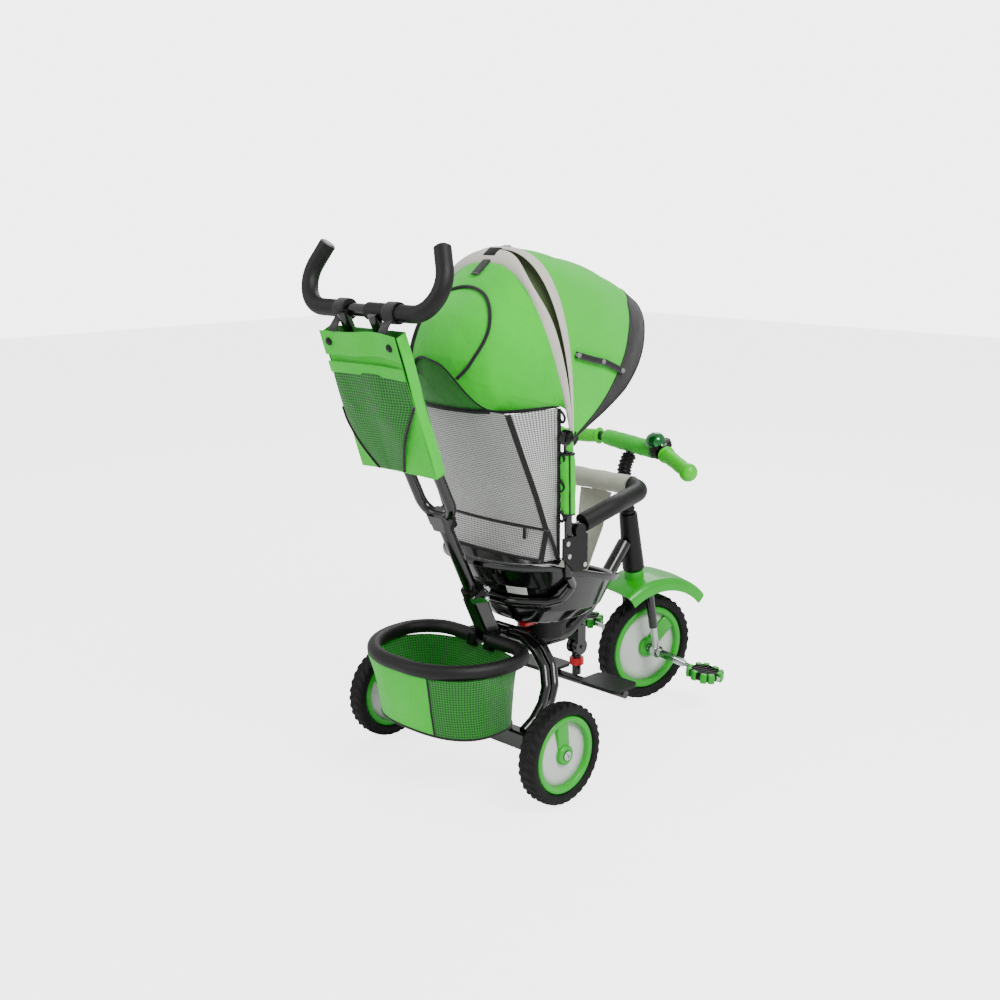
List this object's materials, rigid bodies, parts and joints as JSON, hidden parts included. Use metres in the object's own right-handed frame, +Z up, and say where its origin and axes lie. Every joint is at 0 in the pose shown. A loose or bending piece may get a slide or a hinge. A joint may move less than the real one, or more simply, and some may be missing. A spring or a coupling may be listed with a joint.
{
  "type": "children's tricycle",
  "caption": "Push-along children's tricycle with pedal front wheel, swivelling bucket seat, folding canopy, guard ring, parent push handle with bag and rear basket.",
  "frame": {"origin": "on the floor, under the middle of the overall length and width", "axes": "+Z up, +X to the rider's left, the tricycle faces -Y"},
  "size_m": [0.542, 0.9876, 1.0673],
  "materials": {
    "black_tube": "gloss black powder coat",
    "chrome_steel": "bright plated steel",
    "black_plastic": "satin moulded plastic",
    "gloss_black_plastic": "polished moulded plastic",
    "tyre": "foamed rubber, fine matt skin",
    "green_plastic": "glossy moulded plastic",
    "lime_plastic": "soft moulded grip plastic",
    "green_fabric": "coated polyester weave",
    "beige_fabric": "plain cotton weave",
    "mesh_fabric": "open polyester mesh",
    "black_fabric": "woven polyester webbing",
    "foam_black": "closed-cell foam sleeve",
    "red_plastic": "glossy moulded plastic",
    "bell_green": "metallic lacquer"
  },
  "bodies": {
    "frame": {"main_tube": "black_tube", "rear_stays": "black_tube", "axle_beam": "black_tube", "rear_axle": "chrome_steel", "head_shell": "black_plastic", "pole_socket": "black_plastic", "pole_clamp": "black_plastic", "seat_base": "black_plastic", "basket_hoop": "black_tube", "basket_rim": "foam_black", "basket_fabric": "green_fabric", "footrest_hanger": "black_plastic"},
    "clamp_lever": {"clamp_lever": "chrome_steel"},
    "footrest": {"footrest_post": "black_plastic", "footrest_collar": "red_plastic", "footrest_bar": "black_tube", "footplates": "black_plastic"},
    "front_fork": {"fork": "black_tube", "fork_ends": "chrome_steel", "fender": "green_plastic", "handlebar": "black_tube", "stem_cover": "black_plastic", "bar_pad": "green_fabric", "grips": "lime_plastic", "bell_base": "black_plastic", "bell_dome": "bell_green"},
    "bell_lever": {"bell_lever": "black_plastic"},
    "front_wheel": {"front_tyre": "tyre", "front_rim": "green_plastic", "crank": "chrome_steel"},
    "pedal_left": {"pedal_left": "black_plastic"},
    "pedal_right": {"pedal_right": "black_plastic"},
    "rear_wheel_left": {"rear_left_tyre": "tyre", "rear_left_rim": "green_plastic"},
    "rear_wheel_right": {"rear_right_tyre": "tyre", "rear_right_rim": "green_plastic"},
    "seat": {"seat_turntable": "black_plastic", "seat_shell": "gloss_black_plastic", "seat_pad": "beige_fabric", "crotch_panel": "beige_fabric", "seat_cradle": "black_tube", "seat_brackets": "black_plastic", "bracket_screws": "chrome_steel", "canopy_posts": "black_tube", "post_sleeves": "green_fabric", "backrest": "mesh_fabric", "canopy_rear": "green_fabric"},
    "seat_lock": {"seat_lock_lever": "red_plastic"},
    "guard": {"guard_foam": "foam_black", "guard_tube": "black_tube"},
    "canopy_hood": {"canopy_front": "green_fabric", "visor": "black_fabric", "canopy_hubs": "black_plastic"},
    "push_handle": {"push_pole": "black_tube", "handle_yoke": "black_plastic", "handle_legs": "black_tube", "crossbar": "black_tube", "foam_grips": "foam_black", "bag": "green_fabric", "bag_loops": "black_fabric"}
  },
  "joints": [
    {"name": "steering", "type": "hinge", "parent": "frame", "child": "front_fork", "pos_m": [0, -0.3168, 0.321], "axis": [0, 0.1736, 0.9848], "range_deg": [-16, 37]},
    {"name": "front_wheel_spin", "type": "hinge", "parent": "front_fork", "child": "front_wheel", "pos_m": [-0.00174, -0.35962, 0.12536], "axis": [0.9781, -0.2048, 0.0361], "continuous": true},
    {"name": "pedal_left_spin", "type": "hinge", "parent": "front_wheel", "child": "pedal_left", "pos_m": [0.14749, -0.32334, 0.16585], "axis": [0.9781, -0.2048, 0.0361], "continuous": true},
    {"name": "pedal_right_spin", "type": "hinge", "parent": "front_wheel", "child": "pedal_right", "pos_m": [-0.15097, -0.3959, 0.08487], "axis": [0.9781, -0.2048, 0.0361], "continuous": true},
    {"name": "rear_left_spin", "type": "hinge", "parent": "frame", "child": "rear_wheel_left", "pos_m": [0.25, 0.2032, 0.1], "axis": [1, 0, 0], "continuous": true},
    {"name": "rear_right_spin", "type": "hinge", "parent": "frame", "child": "rear_wheel_right", "pos_m": [-0.25, 0.2032, 0.1], "axis": [1, 0, 0], "continuous": true},
    {"name": "seat_swivel", "type": "hinge", "parent": "frame", "child": "seat", "pos_m": [0, -0.0118, 0.28], "axis": [0, 0, 1], "continuous": true},
    {"name": "seat_lock_press", "type": "hinge", "parent": "seat", "child": "seat_lock", "pos_m": [-0.03, 0.0502, 0.2815], "axis": [1, 0, 0], "range_deg": [0, 6], "stiffness_Nm_per_rad": 0.6, "springref_deg": -5.73},
    {"name": "guard_lift", "type": "hinge", "parent": "seat", "child": "guard", "pos_m": [0, 0.0732, 0.505], "axis": [-1, 0, 0], "range_deg": [0, 70]},
    {"name": "hood_fold", "type": "hinge", "parent": "seat", "child": "canopy_hood", "pos_m": [0, 0.1012, 0.692], "axis": [-1, 0, 0], "range_deg": [0, 45]},
    {"name": "handle_height", "type": "slide", "parent": "frame", "child": "push_handle", "axis": [0, 0.4384, 0.8988], "range_m": [0, 0.06]},
    {"name": "clamp_release", "type": "hinge", "parent": "frame", "child": "clamp_lever", "pos_m": [-0.024, 0.1936, 0.36798], "axis": [0, 0.8988, -0.4384], "range_deg": [0, 60]},
    {"name": "footrest_fold", "type": "hinge", "parent": "frame", "child": "footrest", "pos_m": [0, -0.1258, 0.18], "axis": [1, 0, 0], "range_deg": [0, 80]},
    {"name": "bell_flick", "type": "hinge", "parent": "front_fork", "child": "bell_lever", "pos_m": [-0.09471, -0.27968, 0.60463], "axis": [0.0602, 0.445, 0.8935], "range_deg": [0, 35], "stiffness_Nm_per_rad": 0.02, "springref_deg": -11.46}
  ]
}
